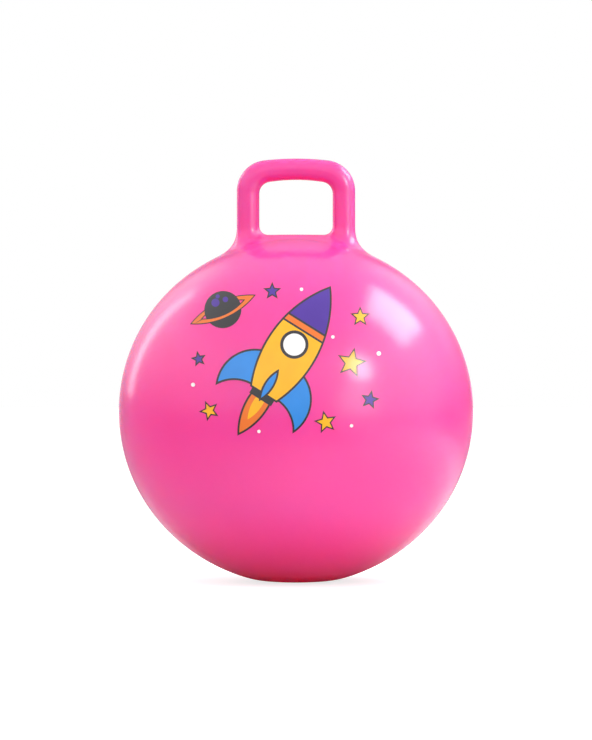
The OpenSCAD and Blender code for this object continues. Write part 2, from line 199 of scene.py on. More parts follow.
class StageSettings(bpy.types.PropertyGroup):
    """Camera, floor and lamps."""

    distance: millimetres("Distance", "Distance from the camera to the ball's middle", 5000, 1000, 10000)
    elevation: degrees("Elevation", "Height of the camera as an angle above the ball's middle", 0.5, 30)
    view_height: millimetres(
        "View height", "Height that the picture shows at the ball's middle", 940, 500, 2000)
    view_middle: millimetres("View middle", "Height that the picture's middle shows", 269, 0, 600)
    walls: amount("Wall light", "Brightness of the pale room in front, level with the floor", 1.0, 0, 3)
    back_wall: amount(
        "Back wall light", "Brightness of the pale room behind, level with the floor", 0.4, 0, 3)
    ceiling: amount("Ceiling light", "Brightness of the pale room above the ball", 1.75, 0, 3)
    # This also sets how bright the floor's painted reflection is for gloss.
    glow: amount("Bright side", "Brightness that gloss shows on the right, round the lamps", 1.2, 0, 3)
    lean: fraction("Fill side", "How much more of the matt fill comes from the left", 0.8)
    fill_share: fraction("Room fill", "Share of the room's brightness that lights matt surfaces", 0.68)
    key: amount("Window light", "Power of the large softbox behind on the right, in watts", 16.5, 0, 80)
    spot: amount("Round lamp", "Power of the round lamp in front on the right, in watts", 8.4, 0, 80)
    strip: amount("Strip light", "Power of the upright strip behind on the left, in watts", 3.0, 0, 80)
    floor_radius: millimetres("Floor radius", "How far the floor runs from the ball", 12000, 3000, 50000)
    floor_glow: amount(
        "Floor glow", "Brightness added to the white floor and its shadow where they are seen", 0.75, 0, 1)
    floor_colour: colour_property("Floor", "Colour of the paper floor", "#ECECEC")
    # Painted falloff: the floor turns to this grey away from its painted pool of light.
    painted_falloff_colour: colour_property("Studio floor", "Colour of the studio floor beyond the paper", "#AAAAAA")


def new_object(name, mesh, material=None):
    made = bpy.data.objects.new(name, mesh)
    bpy.context.scene.collection.objects.link(made)
    if material:
        mesh.materials.append(material)
    return made


def new_mesh(name, points, faces):
    mesh = bpy.data.meshes.new(name)
    mesh.from_pydata([tuple(point) for point in points], [], faces)
    mesh.validate()
    mesh.update()
    return mesh


def with_modifier(mesh, kind, **settings):
    """A new mesh: the given one after a modifier."""
    carrier = new_object("carrier", mesh)
    modifier = carrier.modifiers.new(kind.title(), kind)
    for name, value in settings.items():
        setattr(modifier, name, value)
    graph = bpy.context.evaluated_depsgraph_get()
    changed = bpy.data.meshes.new_from_object(carrier.evaluated_get(graph))
    bpy.data.objects.remove(carrier)
    return changed


def mesh_points(mesh):
    """The mesh's points as rows of an array."""
    points = np.empty(len(mesh.vertices) * 3)
    mesh.vertices.foreach_get("co", points)
    return points.reshape(-1, 3)


def ring_mesh(name, rings, closed=False):
    """Joins each ring of points to the next. The first and last ring are joined too, or else capped."""
    count = len(rings[0])
    faces = []
    for ring in range(len(rings) if closed else len(rings) - 1):
        low = ring * count
        high = (ring + 1) % len(rings) * count
        faces += [(low + i, low + (i + 1) % count, high + (i + 1) % count, high + i) for i in range(count)]
    if not closed:
        faces += [list(range(count))[::-1], list(range((len(rings) - 1) * count, len(rings) * count))]
    return new_mesh(name, [point for ring in rings for point in ring], faces)


def lathe_mesh(name, outline, sides, closed=False):
    """Turns an outline of (radius, height) points round the Z axis."""
    turns = [2 * math.pi * i / sides for i in range(sides)]
    rings = [[(out * math.cos(a), out * math.sin(a), height) for a in turns] for out, height in outline]
    return ring_mesh(name, rings, closed)


def arc(centre, radius, start, end, steps):
    """Points along an arc between two angles, both ends included."""
    angles = np.linspace(start, end, steps + 1)
    return [(centre[0] + radius * math.cos(a), centre[1] + radius * math.sin(a)) for a in angles]


def filleted(corners, steps=5):
    """An outline whose corners are (x, y, fillet radius)."""
    outline = []
    for i, (x, y, radius) in enumerate(corners):
        corner = Vector((x, y))
        if not radius:
            outline.append((x, y))
            continue
        before = (Vector(corners[i - 1][:2]) - corner).normalized()
        after = (Vector(corners[(i + 1) % len(corners)][:2]) - corner).normalized()
        half = before.angle(after) / 2
        start = corner + before * radius / math.tan(half)
        centre = corner + (before + after).normalized() * radius / math.sin(half)
        sweep = (math.pi - 2 * half) * math.copysign(1, before.cross(after))
        spoke = start - centre
        for step in range(steps + 1):
            a = -sweep * step / steps
            outline.append((centre.x + spoke.x * math.cos(a) - spoke.y * math.sin(a),
                            centre.y + spoke.x * math.sin(a) + spoke.y * math.cos(a)))
    return outline


class BallShape:
    """The ball's half outline: a belly arc and flatter arcs at the crown and base, all tangent."""

    def __init__(self, skin):
        self.belly_radius = skin.belly_arc_share * BALL_RADIUS
        self.belly_out = BALL_RADIUS - self.belly_radius
        self.belly_height = skin.belly_height_share * BALL_ACROSS
        self.crown_centre, self.crown_radius = self.cap(CROWN_HEIGHT, 1)
        self.base_centre, self.base_radius = self.cap(-skin.sag_share * BALL_ACROSS, -1)

    def cap(self, tip, side):
        """Centre height and radius of the arc from the axis at height tip that is tangent to the belly."""
        level = tip - side * self.belly_radius
        centre = ((level ** 2 - self.belly_out ** 2 - self.belly_height ** 2)
                  / (2 * (level - self.belly_height)))
        return centre, abs(tip - centre)

    def arcs(self, out, height):
        """Centre and radius of the arc that each point belongs to."""
        belly_out, belly_height = self.belly_out, self.belly_height
        crown = belly_out * (height - self.crown_centre) > (belly_height - self.crown_centre) * out
        base = belly_out * (height - self.base_centre) < (belly_height - self.base_centre) * out
        centre_height = np.where(base, self.base_centre, belly_height)
        radius = np.where(base, self.base_radius, self.belly_radius)
        return (np.where(crown | base, 0, belly_out), np.where(crown, self.crown_centre, centre_height),
                np.where(crown, self.crown_radius, radius))

    def distance(self, out, height):
        """Distance outside the ball's skin, at a distance out from its axis."""
        centre_out, centre_height, radius = self.arcs(out, height)
        return np.hypot(out - centre_out, height - centre_height) - radius

    def front(self, across, height):
        """Points on the front of the skin and the directions straight out of it there."""
        points = np.stack([across, -np.full_like(across, BALL_RADIUS), height], axis=1)
        for _ in range(8):
            out = np.hypot(points[:, 0], points[:, 1])
            gap = self.distance(out, height)
            points[:, 1] += gap * out / -points[:, 1]
        out = np.hypot(points[:, 0], points[:, 1])
        centre_out, centre_height, radius = self.arcs(out, height)
        side = (out - centre_out) / radius
        normals = np.stack([points[:, 0] / out * side, points[:, 1] / out * side,
                            (height - centre_height) / radius], axis=1)
        return points, normals


def bowed_box(across, height, half_width, top, bow, corner, bottom, low_corner):
    """Distance outside a rounded outline with upright sides, a flat bottom and a bowed top."""
    bow_centre = top - bow
    corner_x = half_width - corner
    corner_z = bow_centre + math.sqrt((bow - corner) ** 2 - corner_x ** 2)
    low_x = half_width - low_corner
    low_z = bottom + low_corner
    edges = np.maximum(np.hypot(across, height - bow_centre) - bow, across - half_width)
    edges = np.maximum(edges, bottom - height)
    in_high = ((height > corner_z) & (across > corner_x)
               & (across * (corner_z - bow_centre) > corner_x * (height - bow_centre)))
    in_low = (height < low_z) & (across > low_x)
    edges = np.where(in_high, np.hypot(across - corner_x, height - corner_z) - corner, edges)
    return np.where(in_low, np.hypot(across - low_x, height - low_z) - low_corner, edges)


class SkinShape:
    """The whole skin as a distance field: the ball, flattened on the floor, and the hand loop on it."""

    def __init__(self, skin):
        self.skin = skin
        self.ball = BallShape(skin)
        self.half_width = skin.loop_width / 2
        self.half_gap = skin.gap_width / 2
        self.leg_radius = (self.half_width - self.half_gap) / 2
        self.leg_x = (self.half_width + self.half_gap) / 2
        self.gap_floor = CROWN_HEIGHT + skin.saddle_rise
        self.gap_top = LOOP_TOP - skin.grip_thickness
        self.bar = 2 * self.leg_radius
        self.leg_root = CROWN_HEIGHT - 2 * self.bar

    def loop(self, across, deep, height):
        """Distance outside the loop: a round bar between an outer outline and the gap's outline."""
        skin = self.skin
        outer = bowed_box(across, height, self.half_width, LOOP_TOP, skin.outer_bow, skin.loop_corner,
                          self.gap_floor - self.bar, skin.gap_floor_corner + self.bar)
        gap = bowed_box(across, height, self.half_gap, self.gap_top, skin.inner_bow, skin.gap_corner,
                        self.gap_floor, skin.gap_floor_corner)
        ring = np.hypot((gap + outer) / 2, deep) - (gap - outer) / 2
        leg = np.hypot(across - self.leg_x, deep) - self.leg_radius
        leg = np.maximum(leg, self.leg_root - height)
        return np.where(height < (self.gap_floor + self.gap_top) / 2, np.minimum(ring, leg), ring)

    def distance(self, points):
        """Distance outside the skin, where the feet of the loop flare on to the ball."""
        across, deep, height = np.abs(points[:, 0]), points[:, 1], points[:, 2]
        edge = self.skin.patch_edge
        ball = self.ball.distance(np.hypot(across, deep), height)
        near = np.maximum(edge - np.abs(ball + height), 0) / edge
        ball = np.maximum(ball, -height) + near ** 2 * edge / 4
        loop = self.loop(across, deep, height)
        from_leg = np.hypot(across - self.leg_x, deep)
        outward = (1 + (across - self.leg_x) / np.maximum(from_leg, 1e-6)) / 2
        spread = self.skin.foot_reach - self.skin.gap_reach
        reach = self.skin.gap_reach + spread * (1 - (1 - outward) ** 3)
        power = self.skin.foot_fullness
        corner = np.maximum(reach - ball, 0) ** power + np.maximum(reach - loop, 0) ** power
        return np.maximum(reach, np.minimum(ball, loop)) - corner ** (1 / power)

    def gradient(self, points):
        """How the distance grows along each axis."""
        step = 0.05 * MM
        axes = np.eye(3) * step
        return np.stack([self.distance(points + axis) - self.distance(points - axis) for axis in axes],
                        axis=1) / (2 * step)

    def settle(self, points, rounds=6):
        """Moves points straight on to the skin."""
        for _ in range(rounds):
            slope = self.gradient(points)
            points = points - slope * (self.distance(points) / (slope ** 2).sum(axis=1))[:, None]
        return points


def rough_skin(shape):
    """The ball and the loop as two crude overlapping forms, for the voxel remesh to join."""
    levels = 60
    out = np.linspace(0, 1.1 * BALL_RADIUS, 400)
    outline = []
    for i in range(1, levels):
        height = CROWN_HEIGHT * (1 - math.cos(math.pi * i / levels)) / 2
        inside = out[shape.ball.distance(out, np.full_like(out, height)) < 0]
        outline.append((float(inside.max()), height))
    mesh = lathe_mesh("skin", outline, 2 * levels)
    corner = (shape.skin.loop_corner + shape.skin.gap_corner) / 2
    top = (LOOP_TOP + shape.gap_top) / 2
    bottom = shape.gap_floor - shape.bar / 2
    route = filleted([(shape.leg_x, bottom, corner), (shape.leg_x, top, corner),
                      (-shape.leg_x, top, corner), (-shape.leg_x, bottom, corner)], 8)
    rings = []
    for i, here in enumerate(route):
        along = (Vector(route[(i + 1) % len(route)]) - Vector(route[i - 1])).normalized()
        ring = []
        for a in np.linspace(0, 2 * math.pi, 24, endpoint=False):
            side, deep = shape.leg_radius * math.cos(a), shape.leg_radius * math.sin(a)
            ring.append((here[0] + along.y * side, deep, here[1] - along.x * side))
        rings.append(ring)
    both = bmesh.new()
    both.from_mesh(mesh)
    both.from_mesh(ring_mesh("loop", rings, closed=True))
    both.to_mesh(mesh)
    both.free()
    return mesh


def relax(shape, mesh, rounds=8):
    """Evens out the mesh while its points stay on the skin."""
    points = shape.settle(mesh_points(mesh))
    edges = np.empty(len(mesh.edges) * 2, dtype=int)
    mesh.edges.foreach_get("vertices", edges)
    edges = edges.reshape(-1, 2)
    ends = np.concatenate([edges[:, 0], edges[:, 1]])
    others = np.concatenate([edges[:, 1], edges[:, 0]])
    count = np.bincount(ends, minlength=len(points))[:, None]
    for _ in range(rounds):
        middle = np.stack([np.bincount(ends, points[others, axis], len(points)) for axis in range(3)],
                          axis=1) / count
        points = shape.settle((points + middle) / 2, 2)
    mesh.vertices.foreach_set("co", points.ravel())
    mesh.update()


def set_normals(mesh, normals):
    """Gives the mesh a normal for each corner of each face."""
    mesh.polygons.foreach_set("use_smooth", [True] * len(mesh.polygons))
    mesh.normals_split_custom_set([tuple(normal) for normal in normals])


def valve_frame(ball):
    """The valve's own frame: its Z axis is the plug's way out, and its origin is on the skin."""
    axis = Vector(PLUG_JOINT["axis"]).normalized()
    side = Vector((1, 0, 0))
    on_skin = Vector((0, ball.belly_out, ball.belly_height)) + axis * ball.belly_radius
    return Matrix.Translation(on_skin) @ Matrix((side, axis.cross(side), axis)).transposed().to_4x4()


def add_node(tree, kind, inputs=None, **settings):
    """Adds a node. Each input takes a value, an output, or a node whose first output is linked."""
    made = tree.nodes.new("ShaderNode" + kind)
    for name, value in settings.items():
        setattr(made, name, value)
    for name, value in (inputs or {}).items():
        if isinstance(value, bpy.types.Node):
            value = value.outputs[0]
        if isinstance(value, bpy.types.NodeSocket):
            tree.links.new(value, made.inputs[name])
        else:
            made.inputs[name].default_value = value
    return made


def new_material(name):
    """An empty material, its node tree and the object's own coordinates in metres."""
    material = bpy.data.materials.new(name)
    material.use_nodes = True
    tree = material.node_tree
    tree.nodes.clear()
    return material, tree, add_node(tree, "TexCoord").outputs["Object"]


def blotches(tree, where, size, low, high):
    """Soft irregular patches about size across, as a value from low to high."""
    noise = add_node(tree, "TexNoise", {"Vector": where, "Scale": 1 / size, "Detail": 2.0})
    return add_node(tree, "MapRange", {"Value": noise, "From Min": 0.2, "From Max": 0.8,
                                       "To Min": low, "To Max": high}, **SMOOTH)


def moulded_skin_material(skin):
    """Plasticised PVC, cast in a rotating mould and inflated."""
    material, tree, where = new_material("Plasticised PVC, rotationally moulded, glossy")

    # The dye is the same right through. Where the surface faces down, a redder colour is painted in as
    # painted shade. It stands for a surface that gets most of its light from inside the ball.
    facing = add_node(tree, "SeparateXYZ", {"Vector": add_node(tree, "NewGeometry").outputs["Normal"]})
    under = add_node(tree, "MapRange", {"Value": facing.outputs["Z"], "From Min": -0.5, "From Max": -0.85},
                     **SMOOTH)
    dye_and_painted_underside = add_node(tree, "MixRGB", {"Fac": under, "Color1": skin.body, "Color2": skin.deep})
    # Casting leaves the skin a little thicker in places, which shows as faint cloudy patches.
    patches = blotches(tree, where, 90 * MM, 0.985, 1.015)
    # These patches are laid over the dye, with its painted shade on the underside.
    cloudy = add_node(tree, "HueSaturation", {"Color": dye_and_painted_underside, "Value": patches})

    # The mould's polished wall leaves a fine ripple, which breaks up the edges of reflections,
    # and the two halves of the mould meet in a thin raised line in the plane of the hand loop.
    ripple = add_node(tree, "TexNoise", {"Vector": where, "Scale": 1 / skin.grain, "Detail": 2.0})
    across = add_node(tree, "SeparateXYZ", {"Vector": where})
    aside = add_node(tree, "Math", {0: across.outputs["Y"]}, operation="ABSOLUTE")
    line = add_node(tree, "MapRange", {"Value": aside, "From Min": 0.9 * MM, "From Max": 0.3 * MM,
                                       "To Max": 0.15 * MM}, **SMOOTH)
    rippled = add_node(tree, "Bump", {"Height": ripple, "Distance": 0.02 * MM})
    lined = add_node(tree, "Bump", {"Height": line, "Distance": 1.0, "Normal": rippled})
    # The thin skin lets red light through. It goes round inside the ball and comes out evenly,
    # so the shaded underside glows red.
    shader = add_node(tree, "BsdfPrincipled", {
        "Base Color": cloudy,
        "Roughness": blotches(tree, where, 40 * MM, 0.20, 0.23),
        "IOR": 1.53,
        "Subsurface Weight": 0.85,
        "Subsurface Radius": (1.0, 0.005, 0.008),
        "Subsurface Scale": 1000 * MM,
        "Normal": lined})
    add_node(tree, "OutputMaterial", {"Surface": shader})
    return material


def plain_plastic(name, colour, shade, grain, gloss, values):
    """A plastic with faint blotches of shade and of gloss over a fine grain. Shade and gloss each
    hold the blotches' size, lowest and highest value, and grain holds its size, detail and height."""
    material, tree, where = new_material(name)
    tint = add_node(tree, "HueSaturation", {"Color": colour, "Value": blotches(tree, where, *shade)})
    size, detail, height = grain
    noise = add_node(tree, "TexNoise", {"Vector": where, "Scale": 1 / size, "Detail": detail})
    bump = add_node(tree, "Bump", {"Height": noise, "Distance": height})
    shader = add_node(tree, "BsdfPrincipled", {
        "Base Color": tint, "Roughness": blotches(tree, where, *gloss), "Normal": bump, **values})
    add_node(tree, "OutputMaterial", {"Surface": shader})
    return material


def valve_material(valve):
    """Flexible PVC, injection moulded: satin, faintly yellowed, and softer to the eye than the plug."""
    return plain_plastic(
        "Flexible PVC, injection moulded, satin", valve.seat_colour, shade=(6 * MM, 0.96, 1.02),
        grain=(0.8 * MM, 3.0, 0.02 * MM), gloss=(3 * MM, 0.42, 0.52),
        values={"IOR": 1.53, "Subsurface Weight": 0.1, "Subsurface Radius": (1.0, 0.8, 0.5),
                "Subsurface Scale": 2 * MM})


def plug_material(valve):
    """Low density polyethylene, injection moulded: waxy white with a soft shine."""
    return plain_plastic(
        "Low density polyethylene, injection moulded, semi-gloss", valve.plug_colour,
        shade=(5 * MM, 0.97, 1.02), grain=(1.2 * MM, 2.0, 0.01 * MM), gloss=(4 * MM, 0.28, 0.35),
        values={"IOR": 1.51, "Subsurface Weight": 0.15, "Subsurface Radius": (1.0, 0.9, 0.8),
                "Subsurface Scale": 2 * MM})


def ink_material(ink, colour):
    """Vinyl ink, screen printed: laid a little unevenly, and nearly as glossy as the PVC it bonds to."""
    return plain_plastic(
        "Vinyl ink, screen printed, " + ink, colour, shade=(22 * MM, 0.95, 1.04),
        grain=(1.6 * MM, 2.0, 0.008 * MM), gloss=(12 * MM, 0.21, 0.27), values={"IOR": 1.5})


class HOPPER_OT_skin(bpy.types.Operator):
    """Builds the ball and its hand loop as one moulded skin"""

    bl_idname = "mesh.hopper_skin"
    bl_label = "Moulded skin"

    def execute(self, context):
        skin = context.scene.hopper_skin
        valve = context.scene.hopper_valve
        shape = SkinShape(skin)
        mesh = with_modifier(rough_skin(shape), "REMESH", mode="VOXEL", voxel_size=skin.cell)
        relax(shape, mesh)
        mesh = self.pierced(mesh, valve_frame(shape.ball), valve)
        self.shade(mesh, shape)
        piece = new_object("moulded_skin", mesh, moulded_skin_material(skin))
        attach(piece, "ball")
        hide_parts("ball_shell", "hand_loop")
        return {"FINISHED"}

    def pierced(self, mesh, place, valve):
        """The skin with a hole for the valve's neck."""
        radius = valve.neck_radius + VALVE_HOLE_CLEARANCE
        overrun = 3 * MM
        cutter = lathe_mesh("cutter", [(radius, -valve.neck_length - overrun), (radius, valve.lip_height)],
                            TURNED_SIDES)
        cutter.transform(place)
        tool = new_object("cutter", cutter)
        holed = with_modifier(mesh, "BOOLEAN", operation="DIFFERENCE", solver="EXACT", object=tool)
        bpy.data.objects.remove(tool)
        return holed

    def shade(self, mesh, shape):
        """Shades the skin by its true curvature, and the wall of the valve's hole by its own faces."""
        points = mesh_points(mesh)
        slope = shape.gradient(points)
        slope /= np.linalg.norm(slope, axis=1)[:, None]
        below_skin = shape.distance(points) < -0.2 * MM
        normals = []
        for face in mesh.polygons:
            inner = any(below_skin[i] for i in face.vertices)
            normals += [face.normal if inner else slope[i] for i in face.vertices]
        set_normals(mesh, normals)


def turned_piece(name, outline, skin, material, closed):
    """A piece turned about the valve's axis, with soft edges."""
    mesh = lathe_mesh(name, outline, TURNED_SIDES, closed)
    mesh.transform(valve_frame(BallShape(skin)))
    mesh.polygons.foreach_set("use_smooth", [True] * len(mesh.polygons))
    mesh.set_sharp_from_angle(angle=math.radians(40))
    piece = new_object(name, mesh, material)
    even = piece.modifiers.new("Even shading", "WEIGHTED_NORMAL")
    even.keep_sharp = True
    return piece


class HOPPER_OT_valve_seat(bpy.types.Operator):
    """Builds the valve's lip and neck, with the bore and the recess for the plug"""

    bl_idname = "mesh.hopper_valve_seat"
    bl_label = "Valve seat"

    def execute(self, context):
        valve = context.scene.hopper_valve
        lip, top, bore = valve.lip_radius, valve.lip_height, valve.bore_radius
        recess = valve.head_radius + 0.4 * MM
        floor = top - valve.recess_depth
        # The lip's foot is sunk into the skin, and a shallow groove runs round its top.
        sunk = -0.9 * MM
        groove = lip - 3 * MM
        wide, narrow, groove_floor = 0.7 * MM, 0.4 * MM, top - 0.35 * MM
        outline = filleted([
            (bore, -valve.neck_length, 0.3 * MM),
            (valve.neck_radius, -valve.neck_length, 0.5 * MM),
            (valve.neck_radius, sunk, 0),
            (lip, sunk, 0),
            (lip, top, 0.9 * MM),
            (groove + wide, top, 0.3 * MM),
            (groove + narrow, groove_floor, 0.15 * MM),
            (groove - narrow, groove_floor, 0.15 * MM),
            (groove - wide, top, 0.3 * MM),
            (recess, top, 0.35 * MM),
            (recess, floor, 0.25 * MM),
            (bore, floor, 0.4 * MM),
        ])
        piece = turned_piece("valve_body", outline, context.scene.hopper_skin, valve_material(valve),
                             closed=True)
        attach(piece, "ball")
        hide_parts("valve_seat")
        return {"FINISHED"}


class HOPPER_OT_valve_plug(bpy.types.Operator):
    """Builds the pull-out plug, with its head and its ribbed stem"""

    bl_idname = "mesh.hopper_valve_plug"
    bl_label = "Valve plug"

    def execute(self, context):
        valve = context.scene.hopper_valve
        head, stem = valve.head_radius, valve.stem_radius
        rib = valve.bore_radius - RIB_CLEARANCE
        under = valve.lip_height - valve.recess_depth + PLUG_CLEARANCE
        top = under + valve.head_thickness
        tip = under - valve.stem_length
        taper = valve.stem_length / 5
        pitch = (valve.stem_length - taper) / (valve.ribs + 1)
        # The outline stops just short of the axis, and the ends are closed there.
        axis = 0.02 * MM
        corners = [(axis, tip, 0), (stem / 2, tip, 0.5 * MM), (stem, tip + taper, 0.8 * MM)]
        # Each rib has a long slope on the side that goes in first.
        foot_low, crest_low, crest_high, foot_high = -1.2 * MM, -0.5 * MM, 0.6 * MM, 1.0 * MM
        for i in range(valve.ribs, 0, -1):
            middle = under - i * pitch
            corners += [(stem, middle + foot_low, 0.15 * MM), (rib, middle + crest_low, 0.3 * MM),
                        (rib, middle + crest_high, 0.3 * MM), (stem, middle + foot_high, 0.15 * MM)]
        dish, dish_floor = head / 2, top - 0.5 * MM
        corners += [(stem, under, 0.4 * MM), (head, under, 0.3 * MM), (head, top, 0.6 * MM),
                    (dish + 0.4 * MM, top, 1.2 * MM), (dish - 0.8 * MM, dish_floor, 1.2 * MM),
                    (axis, dish_floor, 0)]
        piece = turned_piece("pull_out_plug", filleted(corners), context.scene.hopper_skin,
                             plug_material(valve), closed=False)
        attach(piece, "plug")
        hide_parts("valve_plug")
        return {"FINISHED"}


def lens(length, width, grow=0.0, steps=24):
    """A pointed oval of half length along Y and half width along X, grown outwards."""
    radius = (length ** 2 + width ** 2) / (2 * width)
    reach = math.acos((radius - width) / (radius + grow))
    return (arc((width - radius, 0), radius + grow, -reach, reach, steps)[:-1]
            + arc((radius - width, 0), radius + grow, math.pi - reach, math.pi + reach, steps)[:-1])


def disc(centre, radius, steps=40):
    return arc(centre, radius, 0, 2 * math.pi * (1 - 1 / steps), steps - 1)


def between(outline, low, high):
    """The part of a convex outline from height low to height high."""
    for level, side in ((low, 1), (high, -1)):
        kept = []
        for i, here in enumerate(outline):
            before = outline[i - 1]
            if (before[1] - level) * side * (here[1] - level) * side < 0:
                share = (level - before[1]) / (here[1] - before[1])
                kept.append((before[0] + share * (here[0] - before[0]), level))
            if (here[1] - level) * side >= 0:
                kept.append(here)
        outline = kept
    return outline


def mirrored(outline):
    return [(-x, y) for x, y in outline]


def divided(outline, longest):
    """The outline with its long sides split evenly, so that they can follow the ball's curve."""
    points = []
    for here, there in zip(outline, outline[1:] + outline[:1]):
        parts = math.ceil(math.dist(here, there) / longest)
        points += [(here[0] + (there[0] - here[0]) * i / parts, here[1] + (there[1] - here[1]) * i / parts)
                   for i in range(parts)]
    return points


def moved(outline, x, y):
    return [(px + x, py + y) for px, py in outline]


def crossing(first, first_radius, second, second_radius):
    """The right-hand point where two circles cross."""
    apart = Vector(second) - Vector(first)
    along = (apart.length ** 2 + first_radius ** 2 - second_radius ** 2) / (2 * apart.length)
    aside = math.sqrt(first_radius ** 2 - along ** 2)
    way = apart.normalized()
    return Vector(first) + way * along + Vector((-way.y, way.x)) * aside


class Picture:
    """The picture as outlines in the XZ plane. Each ink covers what was laid before it."""

    def __init__(self, art, ball):
        self.art = art
        self.ball = ball
        self.layers = []

    def at(self, across_share, up_share, turn=0.0):
        """Draws from here on about a place given in shares of the ball's radius."""
        self.spot = (across_share * BALL_RADIUS, self.ball.belly_height + up_share * BALL_RADIUS)
        self.turn = turn

    def lay(self, ink, outline):
        """Lays an ink inside an outline, which is turned and set in its place."""
        c, s = math.cos(self.turn), math.sin(self.turn)
        placed = [(self.spot[0] + x * c - y * s, self.spot[1] + x * s + y * c)
                  for x, y in divided(outline, self.art.cell)]
        area = sum(a[0] * b[1] - b[0] * a[1] for a, b in zip(placed, placed[1:] + placed[:1]))
        self.layers.append((ink, placed if area > 0 else placed[::-1]))

    def rocket(self):
        """A toy rocket with its flame, drawn upright about a point near its middle."""
        art, line = self.art, self.art.line
        length, width = art.rocket_length, art.rocket_width
        self.at(-0.03, 0.345, -art.rocket_tilt)
        tail, tip = -0.4 * length, 0.6 * length
        nose = 0.26 * length
        band = nose - 0.06 * length
        nozzle = tail - 0.12 * width
        nozzle_half = 0.22 * width

        def body(grow, low, high):
            return between(lens(tip, width / 2, grow, 36), low, high)

        def fin(grow):
            """A swept fin between two arcs, from the rocket's middle out to its point."""
            outer, inner = (0.2 * width, tail - 0.03 * width), (0.27 * width, tail - 0.73 * width)
            far, near = 0.77 * width + grow, 0.77 * width - grow
            point = crossing(outer, far, inner, near)
            top = math.acos(-outer[0] / far)
            root = math.acos(-inner[0] / near)
            return (arc(outer, far, math.atan2(point.y - outer[1], point.x - outer[0]), top, 24)
                    + arc(inner, near, root, math.atan2(point.y - inner[1], point.x - inner[0]), 20)[:-1])

        def flame(grow, high, wide=1.0, tall=1.0):
            middle = nozzle - 0.16 * art.flame
            shape = lens(0.84 * art.flame * tall, 0.2 * width * wide, grow)
            return between(moved(shape, 0, middle), middle - 2 * art.flame, high)

        self.lay("charcoal", flame(line, nozzle))
        self.lay("orange", flame(0, nozzle - line))
        self.lay("yellow", flame(0, nozzle - line, 0.5, 0.55))
        for side in (list, mirrored):
            self.lay("charcoal", side(fin(line)))
        for side in (list, mirrored):
            self.lay("blue", side(fin(0)))
        self.lay("charcoal", body(line, tail - line, tip + 2 * line))
        self.lay("charcoal", [(-nozzle_half - line, nozzle - line), (nozzle_half + line, nozzle - line),
                              (nozzle_half + line, tail), (-nozzle_half - line, tail)])
        self.lay("yellow", body(0, tail, band - line))
        self.lay("orange", body(0, band, nose - line))
        self.lay("purple", body(0, nose, tip))

        frame_radius, gap = 0.64 * art.window, 1.4 * MM
        window = (0, band - line - gap - frame_radius)
        self.lay("charcoal", disc(window, frame_radius))
        self.lay("white", disc(window, art.window / 2))
        for ink, grow in (("charcoal", line), ("blue", 0)):
            self.lay(ink, moved(lens(0.3 * width, 0.065 * width, grow), 0, tail + 0.18 * width))

    def planet(self):
        """A planet with craters and a ring that passes in front of it."""
        art = self.art
        radius = art.planet / 2
        half, fat = art.ring / 2, 0.24 * art.ring / 2
        edge = art.line / 2
        self.at(-0.4, 0.57, math.radians(24))

        def ring(scale, grow=0.0):
            return [(-y, x) for x, y in lens(half * scale, fat * scale, grow)]

        def front(scale, grow=0.0):
            """The ring's lower side, from its left point to its right point."""
            return sorted(point for point in ring(scale, grow) if point[1] <= 0)

        self.lay("charcoal", ring(1, edge))
        self.lay("orange", ring(1))
        self.lay("charcoal", ring(0.72))
        self.lay("bare", ring(0.72, -edge))
        self.lay("charcoal", disc((0, 0), radius))
        for x, y, size in ((-0.22, 0.5, 0.22), (0.34, 0.44, 0.15), (0.02, 0.76, 0.11)):
            self.lay("purple", disc((x * radius, y * radius), size * radius, 24))
        self.lay("charcoal", front(1, edge) + front(0.72, -edge)[::-1])
        self.lay("orange", front(1) + front(0.72)[::-1])

    def star(self, ink, across_share, up_share, size, turn):
        """A five-pointed star with a dark edge."""
        tips, waist = 5, 0.45
        edge = waist * math.sin(math.pi / tips) / math.sqrt(
            1 + waist ** 2 - 2 * waist * math.cos(math.pi / tips))
        self.at(across_share, up_share, turn)
        for colour, grow in (("charcoal", 0.65 * self.art.line), (ink, 0.0)):
            reach = size * self.art.star / 2 + grow / edge
            angles = [math.pi / 2 + i * math.pi / tips for i in range(2 * tips)]
            self.lay(colour, [(reach * (waist if i % 2 else 1) * math.cos(a),
                               reach * (waist if i % 2 else 1) * math.sin(a))
                              for i, a in enumerate(angles)])

    def sky(self):
        """The stars and the white dots round the rocket, as shares of the ball's radius, and sizes."""
        yellow = ((0.3, 0.28, 1), (0.35, 0.53, 0.6), (0.16, -0.04, 0.7), (-0.47, 0.02, 0.6))
        purple = ((0.4, 0.08, 0.55), (-0.13, 0.67, 0.5), (-0.53, 0.3, 0.4))
        for ink, places in (("yellow", yellow), ("purple", purple)):
            for i, place in enumerate(places):
                self.star(ink, *place, math.radians(12 * (i - 1)))
        for across, up, size in ((0.2, 0.42, 1), (0.3, -0.06, 1), (0.45, 0.33, 1.3), (-0.56, 0.16, 1.2),
                                 (0.03, 0.68, 1), (-0.2, -0.09, 1)):
            self.at(across, up)
            self.lay("white", disc((0, 0), size * 0.07 * self.art.star, 20))

    def areas(self):
        """Cuts the picture into triangles, and gives each to the ink that was laid there last."""
        outlines, faces = [], []
        for _, outline in self.layers:
            faces.append(list(range(len(outlines), len(outlines) + len(outline))))
            outlines += outline
        low, high = np.min(outlines, axis=0), np.max(outlines, axis=0)
        grid = np.mgrid[low[0]:high[0]:self.art.cell, low[1]:high[1]:self.art.cell].reshape(2, -1).T
        spots, _, triangles, _, _, owners = delaunay_2d_cdt(
            [Vector(spot) for spot in outlines + grid.tolist()], [], faces, 0, 1e-8, True)
        inks = {}
        for triangle, owner in zip(triangles, owners):
            if owner:
                inks.setdefault(self.layers[max(owner)][0], []).append(triangle)
        inks.pop("bare", None)
        return np.array([tuple(spot) for spot in spots]), inks


